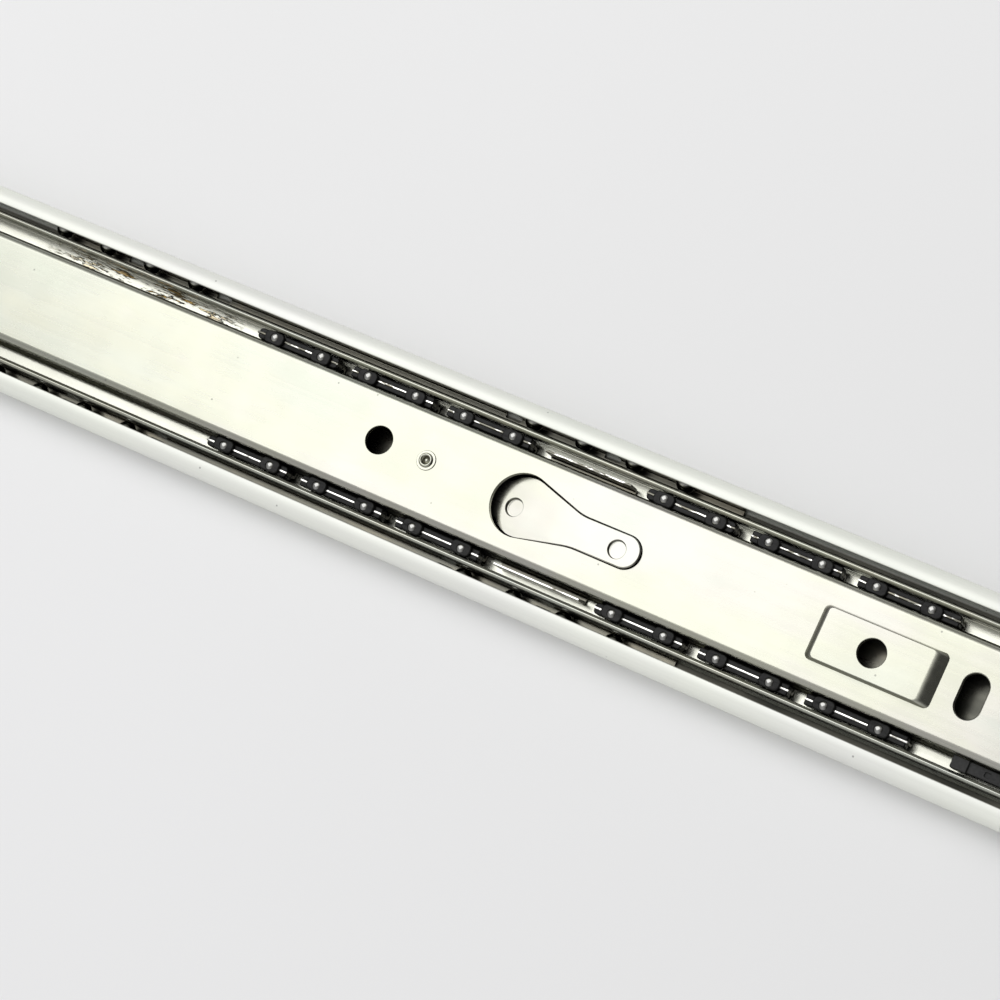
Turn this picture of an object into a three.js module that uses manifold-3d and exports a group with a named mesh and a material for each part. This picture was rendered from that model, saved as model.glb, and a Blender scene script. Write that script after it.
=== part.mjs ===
// Full-extension ball-bearing drawer slide, lying on its cabinet face with the drawer face up.
// Three nested steel channels run on two rows of balls each: the outer member is fixed to the cabinet,
// the intermediate member carries half the travel, and the inner member is fixed to the drawer.
// Millimetres. +X is the way the drawer pulls out, +Y is across the slide, +Z points to the drawer.
// The origin is the middle of the outer member's back face. The slide is drawn part of the way out.

import * as THREE from 'three';
import { mergeVertices } from 'three/addons/utils/BufferGeometryUtils.js';
import Module from 'manifold-3d';

const wasm = await Module();
wasm.setup();

// Lengths along X
const SLIDE_LENGTH = 450;
const OUTER_FRONT = SLIDE_LENGTH / 2;
const INTERMEDIATE_LENGTH = 441.5;
const INTERMEDIATE_DRAWN = 108;
const INNER_DRAWN = 12;
const INTERMEDIATE_FRONT = OUTER_FRONT + INTERMEDIATE_DRAWN;
const INNER_FRONT = INTERMEDIATE_FRONT + INNER_DRAWN;

// Sheet steel and the cross-section, all measured from the slide's middle plane and back face
const SHEET = 1.2;
const HALF_SHEET = SHEET / 2;
const FACE_HEIGHT = 12.7;
const BEND = 1;
const OUTER_BALL = { y: 19.25, z: 5.6, radius: 2.25, race: 2.4 };
const INNER_BALL = { y: 13.7, z: 8.2, radius: 2.0, race: 2.1 };
const INTERMEDIATE_WEB = 2.8;
const INNER_WALL = 11.25;

// Ball cages: thin strips folded up at both sides, with a pocket for each ball
const CAGE_SHEET = 0.6;
const BALL_PITCH = 12.7;
const OUTER_CAGE = { start: -38.3, end: 146.2, web: 1.7, top: 6.7, slots: [0, 36, 110] };
const INNER_CAGE = { start: 24.2, end: 200.8, web: 4.1, top: 9.3, slots: [96, 131, 167] };
const OUTER_BALL_STARTS = [-35.5, 94.3];
const INNER_BALL_STARTS = [29.1, 130.7];
const OUTER_BALLS_PER_GROUP = 4;
const INNER_BALLS_PER_GROUP = 6;
const CAGE_NOTCH = 4;
const CAGE_NOTCH_DEPTH = 1.3;

// Openings and raised features of the inner member, as distances behind the outer member's front end
const SLOT = { behind: 15.3, length: 10, width: 5.6 };
const PAD = { front: 22.5, back: 51.1, halfWidth: 6.25, ramp: 2.5, sideRamp: 0.5, height: 1.8 };
const PAD_HOLE = { behind: 37.6, radius: 3.1 };
const REAR_HOLE = { behind: 160, radius: 3.25, y: 1.1 };
const RIVET = { behind: 147.5, radius: 2.3, y: 1, shank: 1.5, collar: 2.1 };
const WINDOW = { bigX: 122.6, bigRadius: 7.3, tipX: 96.4, tipY: -0.5, tipRadius: 3.9, taperEnd: 108.6 };

// Release latch: spring strip under the inner web with a tongue that rises through the window
const LATCH_SHEET = 0.8;
const LATCH_TOP = 10.3;
const LATCH_GAP = 0.35;
const LATCH_BACK = 71.5;
const LATCH_RISE_START = 95;
const LATCH_SLOPE = 6.4;
const LATCH_HALF_WIDTH = 4.6;
const LATCH_CUPS = { radius: 2.1, wall: 0.5, depth: 0.9, y: -0.7, fromBig: 2.1, fromTip: 1.7 };

const ZINC = { color: 0xe2e3dd, roughness: 0.28, metalness: 0.9 };
const CAGE_STEEL = { color: 0xa9a79c, roughness: 0.35, metalness: 0.9 };
const BALL_STEEL = { color: 0xd8d8d8, roughness: 0.12, metalness: 1 };
const BLACK_NYLON = { color: 0x1c1c1d, roughness: 0.6, metalness: 0 };
const SPRING_STEEL = { color: 0xe4e5e0, roughness: 0.3, metalness: 0.9 };

const slide = new THREE.Group();
slide.name = 'drawer_slide';

function radians(degrees) {
  return degrees * Math.PI / 180;
}

// ---------- Solids ----------

function toSolid(geometry) {
  const bare = geometry.index ? geometry.toNonIndexed() : geometry.clone();
  bare.deleteAttribute('normal');
  bare.deleteAttribute('uv');
  const merged = mergeVertices(bare, 1e-4);
  const vertProperties = new Float32Array(merged.attributes.position.array);
  const triVerts = new Uint32Array(merged.index.array);
  return new wasm.Manifold(new wasm.Mesh({ numProp: 3, vertProperties, triVerts }));
}

function toGeometry(solid) {
  const mesh = solid.getMesh();
  const geometry = new THREE.BufferGeometry();
  geometry.setAttribute('position', new THREE.BufferAttribute(new Float32Array(mesh.vertProperties), 3));
  geometry.setIndex(new THREE.BufferAttribute(new Uint32Array(mesh.triVerts), 1));
  return geometry;
}

function addPart(name, geometry, finish) {
  const flat = geometry.index ? geometry.toNonIndexed() : geometry;
  flat.computeVertexNormals();
  const mesh = new THREE.Mesh(flat, new THREE.MeshStandardMaterial(finish));
  mesh.name = name;
  slide.add(mesh);
  return mesh;
}

function box(x0, x1, y0, y1, z0, z1) {
  const geometry = new THREE.BoxGeometry(x1 - x0, y1 - y0, z1 - z0);
  geometry.translate((x0 + x1) / 2, (y0 + y1) / 2, (z0 + z1) / 2);
  return toSolid(geometry);
}

// A round bar along Z, from z0 to z1
function post(x, y, z0, z1, radius, segments = 16) {
  const geometry = new THREE.CylinderGeometry(radius, radius, z1 - z0, segments);
  geometry.rotateX(Math.PI / 2);
  geometry.translate(x, y, (z0 + z1) / 2);
  return toSolid(geometry);
}

// A round bar along Y, from y0 to y1
function crossBar(x, z, y0, y1, radius, segments = 16) {
  const geometry = new THREE.CylinderGeometry(radius, radius, y1 - y0, segments);
  geometry.translate(x, (y0 + y1) / 2, z);
  return toSolid(geometry);
}

// A plate whose outline lies in the XY plane, from z0 to z1
function plate(outline, z0, z1, curveSegments = 10) {
  const geometry = new THREE.ExtrudeGeometry(outline, { depth: z1 - z0, bevelEnabled: false, curveSegments });
  geometry.translate(0, 0, z0);
  return toSolid(geometry);
}

// A straight-sided slot with round ends, its long way along X or along Y
function slotOutline(x, y, length, width, along) {
  const radius = width / 2;
  const reach = length / 2 - radius;
  const outline = new THREE.Shape();
  if (along === 'x') {
    outline.absarc(x + reach, y, radius, -Math.PI / 2, Math.PI / 2, false);
    outline.absarc(x - reach, y, radius, Math.PI / 2, Math.PI * 1.5, false);
  } else {
    outline.absarc(x, y + reach, radius, 0, Math.PI, false);
    outline.absarc(x, y - reach, radius, Math.PI, Math.PI * 2, false);
  }
  outline.closePath();
  return outline;
}

// ---------- Folded sheet channels ----------

// Points on an arc in the YZ plane, from one angle to another in degrees
function arcPoints(centreY, centreZ, radius, from, to, steps) {
  const points = [];
  for (let i = 0; i <= steps; i += 1) {
    const angle = radians(from + (to - from) * i / steps);
    points.push(new THREE.Vector2(centreY + radius * Math.cos(angle), centreZ + radius * Math.sin(angle)));
  }
  return points;
}

function mirrored(halfLine) {
  const otherHalf = halfLine.map((point) => new THREE.Vector2(-point.x, point.y)).reverse();
  return otherHalf.concat(halfLine);
}

// Moves each point of a centre line sideways, along the mean normal of its two segments
function offsetLine(line, distance) {
  return line.map((point, i) => {
    const before = line[Math.max(i - 1, 0)];
    const after = line[Math.min(i + 1, line.length - 1)];
    const inward = point.clone().sub(before).normalize();
    const outward = after.clone().sub(point).normalize();
    const along = inward.add(outward).normalize();
    return new THREE.Vector2(point.x - along.y * distance, point.y + along.x * distance);
  });
}

// Sheet metal of one thickness, folded to a centre line in the YZ plane and run along X
function channel(halfLine, thickness, x0, x1) {
  const line = mirrored(halfLine);
  const upper = offsetLine(line, thickness / 2);
  const lower = offsetLine(line, -thickness / 2).reverse();
  const section = new THREE.Shape(upper.concat(lower));
  const geometry = new THREE.ExtrudeGeometry(section, { depth: x1 - x0, bevelEnabled: false });
  geometry.applyMatrix4(new THREE.Matrix4().makeBasis(
    new THREE.Vector3(0, 1, 0),
    new THREE.Vector3(0, 0, 1),
    new THREE.Vector3(1, 0, 0),
  ));
  geometry.translate(x0, 0, 0);
  return toSolid(geometry);
}

function outerLine() {
  const race = OUTER_BALL.race + HALF_SHEET;
  const bottomAngle = -25;
  const raceLine = arcPoints(OUTER_BALL.y, OUTER_BALL.z, race, bottomAngle, 103, 14);
  const foot = raceLine[0];
  const cornerY = foot.x - (foot.y - HALF_SHEET) * Math.tan(radians(-bottomAngle));
  return [new THREE.Vector2(cornerY - BEND, HALF_SHEET), new THREE.Vector2(cornerY, HALF_SHEET + 0.3)]
    .concat(raceLine);
}

function intermediateLine() {
  const outerRace = arcPoints(OUTER_BALL.y, OUTER_BALL.z, OUTER_BALL.race + HALF_SHEET, 222, 165, 7);
  const innerRace = arcPoints(INNER_BALL.y, INNER_BALL.z, INNER_BALL.race + HALF_SHEET, -12, 44, 7);
  const corner = [
    new THREE.Vector2(outerRace[0].x - 1.1, INTERMEDIATE_WEB),
    new THREE.Vector2(outerRace[0].x - 0.3, INTERMEDIATE_WEB + 0.15),
  ];
  return corner.concat(outerRace, innerRace);
}

function innerLine() {
  const bend = arcPoints(INNER_WALL - BEND, FACE_HEIGHT - HALF_SHEET - BEND, BEND, 90, 0, 5);
  const race = arcPoints(INNER_BALL.y, INNER_BALL.z, INNER_BALL.race + HALF_SHEET, 155, 228, 8);
  return bend.concat(race, [new THREE.Vector2(12.25, 5.55)]);
}

function cageLine(flange, web, top) {
  const fold = arcPoints(flange - CAGE_SHEET, web + CAGE_SHEET, CAGE_SHEET, -90, 0, 3);
  return fold.concat([new THREE.Vector2(flange, top)]);
}

// ---------- Members ----------

function buildOuterMember() {
  let member = channel(outerLine(), SHEET, -OUTER_FRONT, OUTER_FRONT);
  const roundHoles = [188, 60, -68, -196];
  for (const x of roundHoles) {
    member = member.subtract(post(x, 0, -1, 2, 2.3));
  }
  for (const x of [156, -36, -164]) {
    member = member.subtract(plate(slotOutline(x, 0, 9, 4.6, 'x'), -1, 2));
  }
  for (const x of [124, -100]) {
    member = member.subtract(plate(slotOutline(x, 0, 8, 4.6, 'y'), -1, 2));
  }
  for (const y of [-9, 9]) {
    member = member.add(post(207.8, y, 0.8, 1.95, 2.2));
    member = member.subtract(post(207.8, y, -1, 0.7, 1.9));
  }
  member = member.add(box(-OUTER_FRONT, -OUTER_FRONT + SHEET, -6, 6, 0.3, 8));
  member = member.subtract(post(-220.3, 0, -1, 2, 1.5));
  addPart('outer_member', toGeometry(member), ZINC);
}

function buildOuterRearBumper() {
  let bumper = box(-223.5, -217, -6.5, 6.5, 1.5, 8);
  bumper = bumper.add(post(-220.3, 0, 0.2, 2, 1.2));
  bumper = bumper.subtract(box(-219.5, -216, -3, 3, 4.5, 9));
  addPart('outer_rear_bumper', toGeometry(bumper), BLACK_NYLON);
}

function buildIntermediateMember() {
  const rear = INTERMEDIATE_FRONT - INTERMEDIATE_LENGTH;
  const webTop = INTERMEDIATE_WEB + HALF_SHEET;
  const webBottom = INTERMEDIATE_WEB - HALF_SHEET;
  let member = channel(intermediateLine(), SHEET, rear, INTERMEDIATE_FRONT);
  for (const y of [-9, 9]) {
    member = member.add(post(312.5, y, webTop - 0.3, 4.35, 2.2));
    member = member.subtract(post(312.5, y, webBottom - 1, webTop - 0.4, 1.9));
    member = member.add(post(-99.8, y, 1.5, webBottom + 0.3, 2.2));
    member = member.subtract(post(-99.8, y, webBottom + 0.4, webTop + 1, 1.9));
  }
  for (const y of [-4, 4]) {
    member = member.subtract(post(-104.2, y, 1, 5, 1.5));
  }
  for (const x of [285, 165, 45, -55]) {
    member = member.subtract(plate(slotOutline(x, 0, 24, 11, 'x'), 1, 5));
  }
  addPart('intermediate_member', toGeometry(member), ZINC);
}

function buildIntermediateRearBumper() {
  let bumper = box(-108.2, -100.6, -12.6, 12.6, 3.7, 5);
  for (const y of [-4, 4]) {
    bumper = bumper.add(post(-104.2, y, 2.4, 4, 1.2));
  }
  addPart('intermediate_rear_bumper', toGeometry(bumper), BLACK_NYLON);
}

// A frustum on the XY plane: its top is smaller than its base by a ramp at each end and each side
function frustum(x0, x1, halfWidth, z0, z1, ramp, sideRamp) {
  const geometry = new THREE.BoxGeometry(x1 - x0, halfWidth * 2, z1 - z0);
  const position = geometry.attributes.position;
  for (let i = 0; i < position.count; i += 1) {
    if (position.getZ(i) > 0) {
      position.setX(i, position.getX(i) - Math.sign(position.getX(i)) * ramp);
      position.setY(i, position.getY(i) - Math.sign(position.getY(i)) * sideRamp);
    }
  }
  geometry.translate((x0 + x1) / 2, 0, (z0 + z1) / 2);
  return toSolid(geometry);
}

// How far round the big end a straight flank leaves it to reach the point (taperEnd, flankY)
function flankAngle(bigX, bigRadius, taperX, flankY) {
  const across = taperX - bigX;
  const reach = Math.hypot(across, flankY);
  return Math.atan2(flankY, across) + Math.acos(bigRadius / reach);
}

// The pear-shaped window, or the tongue inside it when it is drawn smaller by a gap all round
function pearOutline(gap) {
  const bigX = OUTER_FRONT - WINDOW.bigX;
  const tipX = OUTER_FRONT - WINDOW.tipX;
  const taperX = OUTER_FRONT - WINDOW.taperEnd;
  const bigRadius = WINDOW.bigRadius - gap;
  const tipRadius = WINDOW.tipRadius - gap;
  const farSide = WINDOW.tipY + tipRadius;
  const nearSide = WINDOW.tipY - tipRadius;
  const farAngle = flankAngle(bigX, bigRadius, taperX, farSide);
  const nearAngle = flankAngle(bigX, bigRadius, taperX, -nearSide);
  const outline = new THREE.Shape();
  outline.absarc(bigX, 0, bigRadius, farAngle, Math.PI * 2 - nearAngle, false);
  outline.lineTo(taperX, nearSide);
  outline.absarc(tipX, WINDOW.tipY, tipRadius, -Math.PI / 2, Math.PI / 2, false);
  outline.lineTo(taperX, farSide);
  outline.closePath();
  return outline;
}

function addRaisedPad(member) {
  const front = OUTER_FRONT - PAD.front;
  const back = OUTER_FRONT - PAD.back;
  const top = FACE_HEIGHT + PAD.height;
  const raised = frustum(back, front, PAD.halfWidth, FACE_HEIGHT - 0.6, top, PAD.ramp, PAD.sideRamp);
  const hollowBack = back + SHEET;
  const hollowFront = front - SHEET;
  const hollowHalf = PAD.halfWidth - SHEET;
  const floor = FACE_HEIGHT - 2;
  const hollow = frustum(hollowBack, hollowFront, hollowHalf, floor, top - SHEET, PAD.ramp, PAD.sideRamp);
  return member.add(raised).subtract(hollow);
}

function buildInnerMember() {
  const rear = INNER_FRONT - SLIDE_LENGTH;
  const below = FACE_HEIGHT - 3;
  const above = FACE_HEIGHT + 3;
  let member = channel(innerLine(), SHEET, rear, INNER_FRONT);
  member = addRaisedPad(member);
  const padHoleX = OUTER_FRONT - PAD_HOLE.behind;
  const rearHoleX = OUTER_FRONT - REAR_HOLE.behind;
  const rivetX = OUTER_FRONT - RIVET.behind;
  const slot = slotOutline(OUTER_FRONT - SLOT.behind, 0, SLOT.length, SLOT.width, 'y');
  member = member.subtract(post(padHoleX, 0, below, above, PAD_HOLE.radius, 24));
  member = member.subtract(post(rearHoleX, REAR_HOLE.y, below, above, REAR_HOLE.radius, 24));
  member = member.subtract(post(rivetX, RIVET.y, below, above, RIVET.shank + 0.3));
  member = member.subtract(plate(slot, below, above));
  member = member.subtract(plate(pearOutline(0), below, above));
  for (const x of [310, -65]) {
    member = member.subtract(plate(slotOutline(x, 0, 9, 4.6, 'x'), below, above));
  }
  for (const x of [278, -92]) {
    member = member.subtract(post(x, 0, below, above, 2.3));
  }
  for (const side of [-1, 1]) {
    member = member.subtract(crossBar(222, INNER_BALL.z, side < 0 ? -14 : 9, side < 0 ? -9 : 14, 1.5));
    const inside = side * 11.8;
    const outside = side * 12.7;
    member = member.add(box(-88.3, -82.8, Math.min(inside, outside), Math.max(inside, outside), 3.9, 5.9));
  }
  addPart('inner_member', toGeometry(member), ZINC);
}

// A black clip in the race on one side of the inner member, snapped through the wall by a headed peg
function buildCageStop(name, side) {
  const start = 210.8;
  const end = 235;
  const step = 3.7;
  let stop = box(start, end, 12.1, 14.7, 7.3, 9.9);
  stop = stop.add(box(start, start + step, 12.1, 14.9, 7.3, 10.5));
  stop = stop.add(crossBar(222, INNER_BALL.z, 9.7, 12.5, 1.2));
  stop = stop.add(crossBar(222, INNER_BALL.z, 9.2, 10.1, 1.9));
  const geometry = toGeometry(side > 0 ? stop : stop.mirror([0, 1, 0]));
  addPart(name, geometry, BLACK_NYLON);
}

// ---------- Ball cages and balls ----------

function pocketPositions(starts, count) {
  const positions = [];
  for (const start of starts) {
    for (let i = 0; i < count; i += 1) {
      positions.push(start + i * BALL_PITCH);
    }
  }
  return positions;
}

// Notches lie half a pitch from a ball: after every second ball, and at both ends of a bare stretch
function notchPositions(positions) {
  const notches = [];
  for (let i = 1; i + 1 < positions.length; i += 2) {
    notches.push(positions[i] + BALL_PITCH / 2);
    if (positions[i + 1] - positions[i] > BALL_PITCH + 0.1) {
      notches.push(positions[i + 1] - BALL_PITCH / 2);
    }
  }
  return notches;
}

// Each notch cuts away the flange and the fold below it
function buildCage(name, cage, ball, positions) {
  const flange = ball.y;
  let strip = channel(cageLine(flange, cage.web, cage.top), CAGE_SHEET, cage.start, cage.end);
  for (const x of positions) {
    strip = strip.subtract(crossBar(x, ball.z, -flange - 2, flange + 2, ball.radius + 0.15, 14));
  }
  const half = CAGE_NOTCH / 2;
  const inside = flange - CAGE_NOTCH_DEPTH;
  const outside = flange + 2;
  for (const x of notchPositions(positions)) {
    strip = strip.subtract(box(x - half, x + half, inside, outside, cage.web - 1, 12));
    strip = strip.subtract(box(x - half, x + half, -outside, -inside, cage.web - 1, 12));
  }
  for (const x of cage.slots) {
    strip = strip.subtract(plate(slotOutline(x, 0, 30, 14, 'x'), cage.web - 1, cage.web + 1));
  }
  addPart(name, toGeometry(strip), CAGE_STEEL);
}

function buildBalls(prefix, ball, positions) {
  for (const [sideName, side] of [['near', -1], ['far', 1]]) {
    positions.forEach((x, i) => {
      const geometry = toGeometry(toSolid(new THREE.SphereGeometry(ball.radius, 8, 6)));
      const mesh = addPart(`${prefix}_${sideName}_${i + 1}`, geometry, BALL_STEEL);
      mesh.position.set(x, side * ball.y, ball.z);
    });
  }
}

// ---------- Latch ----------

// A collar on the shank holds the strip clear of the web
function buildLatchRivet() {
  const headHeight = 0.7;
  const face = FACE_HEIGHT + 0.1;
  const tail = LATCH_TOP - LATCH_SHEET - 0.3;
  const web = FACE_HEIGHT - SHEET;
  const x = OUTER_FRONT - RIVET.behind;
  let rivet = post(x, RIVET.y, face, face + headHeight, RIVET.radius, 20);
  rivet = rivet.add(post(x, RIVET.y, tail - headHeight, face + 0.1, RIVET.shank));
  rivet = rivet.add(post(x, RIVET.y, LATCH_TOP + 0.1, web - 0.1, RIVET.collar, 20));
  rivet = rivet.add(post(x, RIVET.y, tail - headHeight, tail, RIVET.radius, 20));
  addPart('latch_rivet', toGeometry(rivet), SPRING_STEEL);
}

// Turns a flat piece of the tongue up to its slope, about the window's back edge
function raised(geometry) {
  geometry.translate(-LATCH_RISE_START, 0, -LATCH_TOP);
  geometry.applyMatrix4(new THREE.Matrix4().makeRotationY(radians(-LATCH_SLOPE)));
  geometry.translate(LATCH_RISE_START, 0, LATCH_TOP);
  return toSolid(geometry);
}

function raisedPost(x, y, z0, z1, radius) {
  const geometry = new THREE.CylinderGeometry(radius, radius, z1 - z0, 20);
  geometry.rotateX(Math.PI / 2);
  geometry.translate(x, y, (z0 + z1) / 2);
  return raised(geometry);
}

// The strip lies flat under the web; the tongue starts at the window's back edge, slopes up through
// the window and has two round cups pressed down into it
function buildReleaseLatch() {
  const rivetX = OUTER_FRONT - RIVET.behind;
  const bottom = LATCH_TOP - LATCH_SHEET;
  const bigX = OUTER_FRONT - WINDOW.bigX;
  const tipX = OUTER_FRONT - WINDOW.tipX;
  const tongue = new THREE.ExtrudeGeometry(pearOutline(LATCH_GAP), {
    depth: LATCH_SHEET,
    bevelEnabled: false,
    curveSegments: 14,
  });
  tongue.translate(0, 0, bottom);
  let latch = raised(tongue);
  const stripEnd = LATCH_RISE_START + 1.2;
  latch = latch.add(box(LATCH_BACK, stripEnd, -LATCH_HALF_WIDTH, LATCH_HALF_WIDTH, bottom, LATCH_TOP));
  latch = latch.subtract(post(rivetX, RIVET.y, bottom - 1, LATCH_TOP + 1, RIVET.shank + 0.4));
  const cupFloor = LATCH_TOP - LATCH_CUPS.depth;
  const cupOutside = LATCH_CUPS.radius + LATCH_CUPS.wall;
  for (const x of [bigX - LATCH_CUPS.fromBig, tipX - LATCH_CUPS.fromTip]) {
    latch = latch.add(raisedPost(x, LATCH_CUPS.y, cupFloor - LATCH_CUPS.wall, LATCH_TOP - 0.2, cupOutside));
    latch = latch.subtract(raisedPost(x, LATCH_CUPS.y, cupFloor, LATCH_TOP + 1, LATCH_CUPS.radius));
  }
  addPart('release_latch', toGeometry(latch), SPRING_STEEL);
}

const outerPockets = pocketPositions(OUTER_BALL_STARTS, OUTER_BALLS_PER_GROUP);
const innerPockets = pocketPositions(INNER_BALL_STARTS, INNER_BALLS_PER_GROUP);

buildOuterMember();
buildOuterRearBumper();
buildCage('outer_ball_retainer', OUTER_CAGE, OUTER_BALL, outerPockets);
buildBalls('outer_ball', OUTER_BALL, outerPockets);
buildIntermediateMember();
buildIntermediateRearBumper();
buildCage('inner_ball_retainer', INNER_CAGE, INNER_BALL, innerPockets);
buildBalls('inner_ball', INNER_BALL, innerPockets);
buildInnerMember();
buildCageStop('cage_stop_near', -1);
buildCageStop('cage_stop_far', 1);
buildLatchRivet();
buildReleaseLatch();

export default slide;
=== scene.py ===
import math

import bmesh
import bpy
from mathutils import Matrix, Vector


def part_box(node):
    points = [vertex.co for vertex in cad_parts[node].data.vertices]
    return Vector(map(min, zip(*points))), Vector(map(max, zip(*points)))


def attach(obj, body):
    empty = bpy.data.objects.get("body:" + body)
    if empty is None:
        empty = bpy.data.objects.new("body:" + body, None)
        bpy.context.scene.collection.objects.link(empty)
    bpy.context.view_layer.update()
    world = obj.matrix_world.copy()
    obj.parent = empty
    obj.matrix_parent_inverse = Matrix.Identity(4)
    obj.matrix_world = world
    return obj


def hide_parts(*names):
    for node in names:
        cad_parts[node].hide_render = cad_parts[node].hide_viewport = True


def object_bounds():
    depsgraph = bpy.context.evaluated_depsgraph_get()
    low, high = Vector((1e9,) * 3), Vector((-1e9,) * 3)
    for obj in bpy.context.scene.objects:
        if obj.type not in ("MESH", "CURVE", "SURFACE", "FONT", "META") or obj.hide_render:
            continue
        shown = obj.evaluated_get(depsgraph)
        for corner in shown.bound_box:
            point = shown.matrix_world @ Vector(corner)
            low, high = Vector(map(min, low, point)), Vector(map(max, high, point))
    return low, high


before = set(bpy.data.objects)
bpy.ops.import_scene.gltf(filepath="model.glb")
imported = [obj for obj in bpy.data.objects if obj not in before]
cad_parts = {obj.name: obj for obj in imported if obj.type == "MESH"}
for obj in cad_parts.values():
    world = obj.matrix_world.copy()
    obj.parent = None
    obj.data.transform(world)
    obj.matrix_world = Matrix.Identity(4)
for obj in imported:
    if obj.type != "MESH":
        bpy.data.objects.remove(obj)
CAD_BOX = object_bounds()

# A ball-bearing drawer slide. Shapes are worked out in millimetres and written in metres.
MM = 0.001

# Sheet thicknesses and the rounding of their cut edges
SHEET = 1.2
CAGE_SHEET = 0.6
LATCH_SHEET = 0.8
SHEET_RIM = 0.32
CAGE_RIM = 0.24
END_ROUND = 0.18

# Ball rows: height and distance from the middle plane, ball radius and race radius
OUTER_BALL = {"y": 19.25, "z": 5.6, "radius": 2.25, "race": 2.4}
INNER_BALL = {"y": 13.7, "z": 8.2, "radius": 2.0, "race": 2.1}
FACE_HEIGHT = 12.7
INTERMEDIATE_WEB = 2.8
OUTER_WEB = 0.6


def node_box(node):
    """Lowest and highest corner of a CAD node, in millimetres."""
    low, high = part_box(node)
    return low / MM, high / MM


OUTER_LOW, OUTER_HIGH = node_box("outer_member")
MIDDLE_LOW, MIDDLE_HIGH = node_box("intermediate_member")
INNER_LOW, INNER_HIGH = node_box("inner_member")
OUTER_FRONT = OUTER_HIGH.x


# ---------- Lines and outlines in the YZ and XY planes ----------

def arc(centre, radius, start, end, steps):
    """Points on an arc from one angle to another, in degrees."""
    points = []
    for i in range(steps + 1):
        angle = math.radians(start + (end - start) * i / steps)
        points.append(Vector((centre[0] + radius * math.cos(angle), centre[1] + radius * math.sin(angle))))
    return points


def both_sides(half_line):
    """A half line from the middle plane outward, with its mirror image in front of it."""
    return [Vector((-p.x, p.y)) for p in reversed(half_line)] + half_line


def normal_at(line, i):
    before = line[max(i - 1, 0)]
    after = line[min(i + 1, len(line) - 1)]
    along = Vector((0, 0))
    for step in (line[i] - before, after - line[i]):
        if step.length > 1e-9:
            along += step.normalized()
    along.normalize()
    return Vector((-along.y, along.x))


def trimmed(line, rim):
    """The line without the points that the rounding of its ends takes up."""
    line = list(line)
    while (line[-2] - line[-1]).length < rim:
        del line[-2]
    while (line[1] - line[0]).length < rim:
        del line[1]
    return line


def strip_outline(line, thickness, rim, inset=0.0, rim_steps=5):
    """Closed outline of a folded strip with rounded free edges, drawn smaller by inset all round."""
    line = trimmed(line, rim)
    half = thickness / 2 - inset
    corner = rim - inset
    sides = []
    for sign in (1, -1):
        side = [line[i] + normal_at(line, i) * half * sign for i in range(1, len(line) - 1)]
        sides.append(side)
    ends = []
    for tip, neighbour in ((line[-1], line[-2]), (line[0], line[1])):
        along = (tip - neighbour).normalized()
        across = Vector((-along.y, along.x))
        points = []
        for sign, start in ((1, 90), (-1, 0)):
            centre = tip - along * rim + across * (half - corner) * sign
            for i in range(rim_steps + 1):
                angle = math.radians(start - 90 * i / rim_steps)
                points.append(centre + (along * math.cos(angle) + across * math.sin(angle)) * corner)
        ends.append(points)
    return sides[0] + ends[0] + list(reversed(sides[1])) + ends[1]


# ---------- Meshes ----------

def to_object(name, bm):
    bmesh.ops.recalc_face_normals(bm, faces=bm.faces)
    bmesh.ops.scale(bm, vec=(MM, MM, MM), verts=bm.verts)
    mesh = bpy.data.meshes.new(name)
    bm.to_mesh(mesh)
    bm.free()
    piece = bpy.data.objects.new(name, mesh)
    bpy.context.scene.collection.objects.link(piece)
    return piece


def loft(bm, rings):
    """A closed solid through rings of points, each ring with as many points as the others."""
    rows = [[bm.verts.new(p) for p in ring] for ring in rings]
    count = len(rows[0])
    for lower, upper in zip(rows, rows[1:]):
        for i in range(count):
            j = (i + 1) % count
            bm.faces.new((lower[i], lower[j], upper[j], upper[i]))
    bm.faces.new(list(reversed(rows[0])))
    bm.faces.new(rows[-1])


def rounded_steps(start, end, radius, steps=3):
    """(position, inset) pairs that round a bar's two ends."""
    pairs = []
    for i in range(steps + 1):
        angle = math.radians(90 * i / steps)
        pairs.append((start + radius * (1 - math.cos(angle)), radius * (1 - math.sin(angle))))
    return pairs + [(start + end - at, inset) for at, inset in reversed(pairs)]


# How much a strip is drawn thinner all round, so that it stays inside the CAD's box
SKIN = 0.01


def folded_strip(name, line, thickness, rim, start, end):
    """A folded strip along X, with rounded edges and ends."""
    bm = bmesh.new()
    rings = []
    for x, inset in rounded_steps(start, end, END_ROUND):
        rings.append([(x, p.x, p.y) for p in strip_outline(line, thickness, rim, inset + SKIN)])
    loft(bm, rings)
    return to_object(name, bm)


def circle_outline(x, y, radius, steps=48):
    def outline(grow):
        return arc((x, y), radius + grow, 0, 360 - 360 / steps, steps - 1)
    return outline


def slot_outline(x, y, length, width, along="x", steps=20):
    def outline(grow):
        reach = (length - width) / 2
        radius = width / 2 + grow
        if along == "x":
            return arc((x + reach, y), radius, -90, 90, steps) + arc((x - reach, y), radius, 90, 270, steps)
        return arc((x, y + reach), radius, 0, 180, steps) + arc((x, y - reach), radius, 180, 360, steps)
    return outline


def box_outline(x0, x1, y0, y1, radius, steps=4):
    def outline(grow):
        corners = ((x1 - radius, y1 - radius, 0), (x0 + radius, y1 - radius, 90),
                   (x0 + radius, y0 + radius, 180), (x1 - radius, y0 + radius, 270))
        points = []
        for x, y, start in corners:
            points += arc((x, y), radius + grow, start, start + 90, steps)
        return points
    return outline


# The pear-shaped window and the tongue in it: a big end, straight flanks, and a narrow end off the middle
PEAR = {"big_x": OUTER_FRONT - 122.6, "big": 7.3, "tip_x": OUTER_FRONT - 96.4, "tip_y": -0.5, "tip": 3.9,
        "taper_x": OUTER_FRONT - 108.6, "soft": 1.6}


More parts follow.
